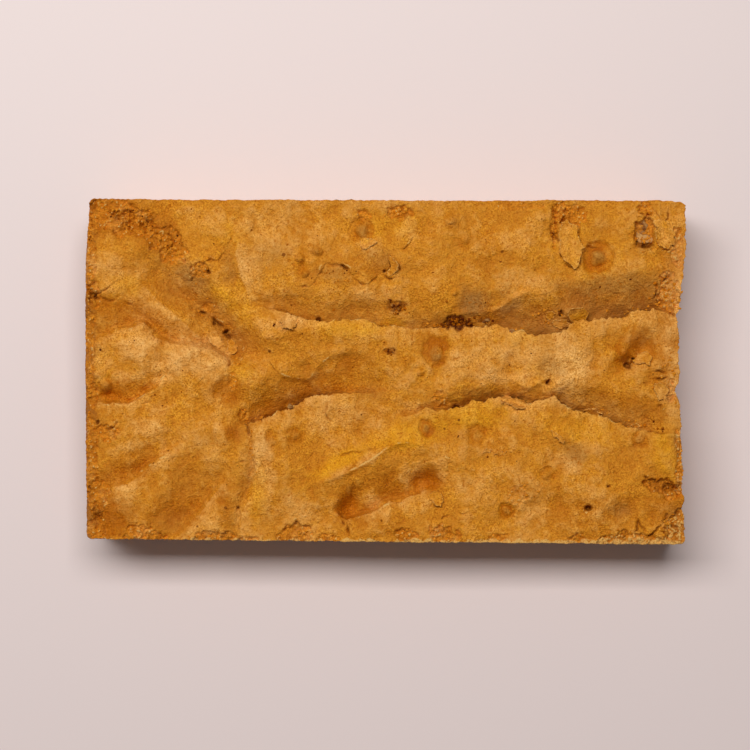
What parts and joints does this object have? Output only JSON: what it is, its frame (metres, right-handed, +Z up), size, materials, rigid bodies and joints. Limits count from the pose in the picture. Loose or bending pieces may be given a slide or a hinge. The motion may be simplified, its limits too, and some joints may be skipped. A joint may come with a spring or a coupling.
{
  "type": "walnut blondie",
  "caption": "Rectangular bar of walnut blondie with a thin folded and blistered crust, one browned end and three cut sides.",
  "frame": {"origin": "centre of the base, on the surface that the bar lies on", "axes": "+X along the bar's long side, away from its browned end; +Y across it; +Z up, out of the crust"},
  "size_m": [0.1324, 0.0764, 0.0237],
  "materials": {
    "crust": "matt, golden baked crust",
    "crumb": "matt, moist cut crumb",
    "walnut": "matt, toasted nut"
  },
  "bodies": {
    "root": {"blondie": "crust"}
  },
  "joints": []
}
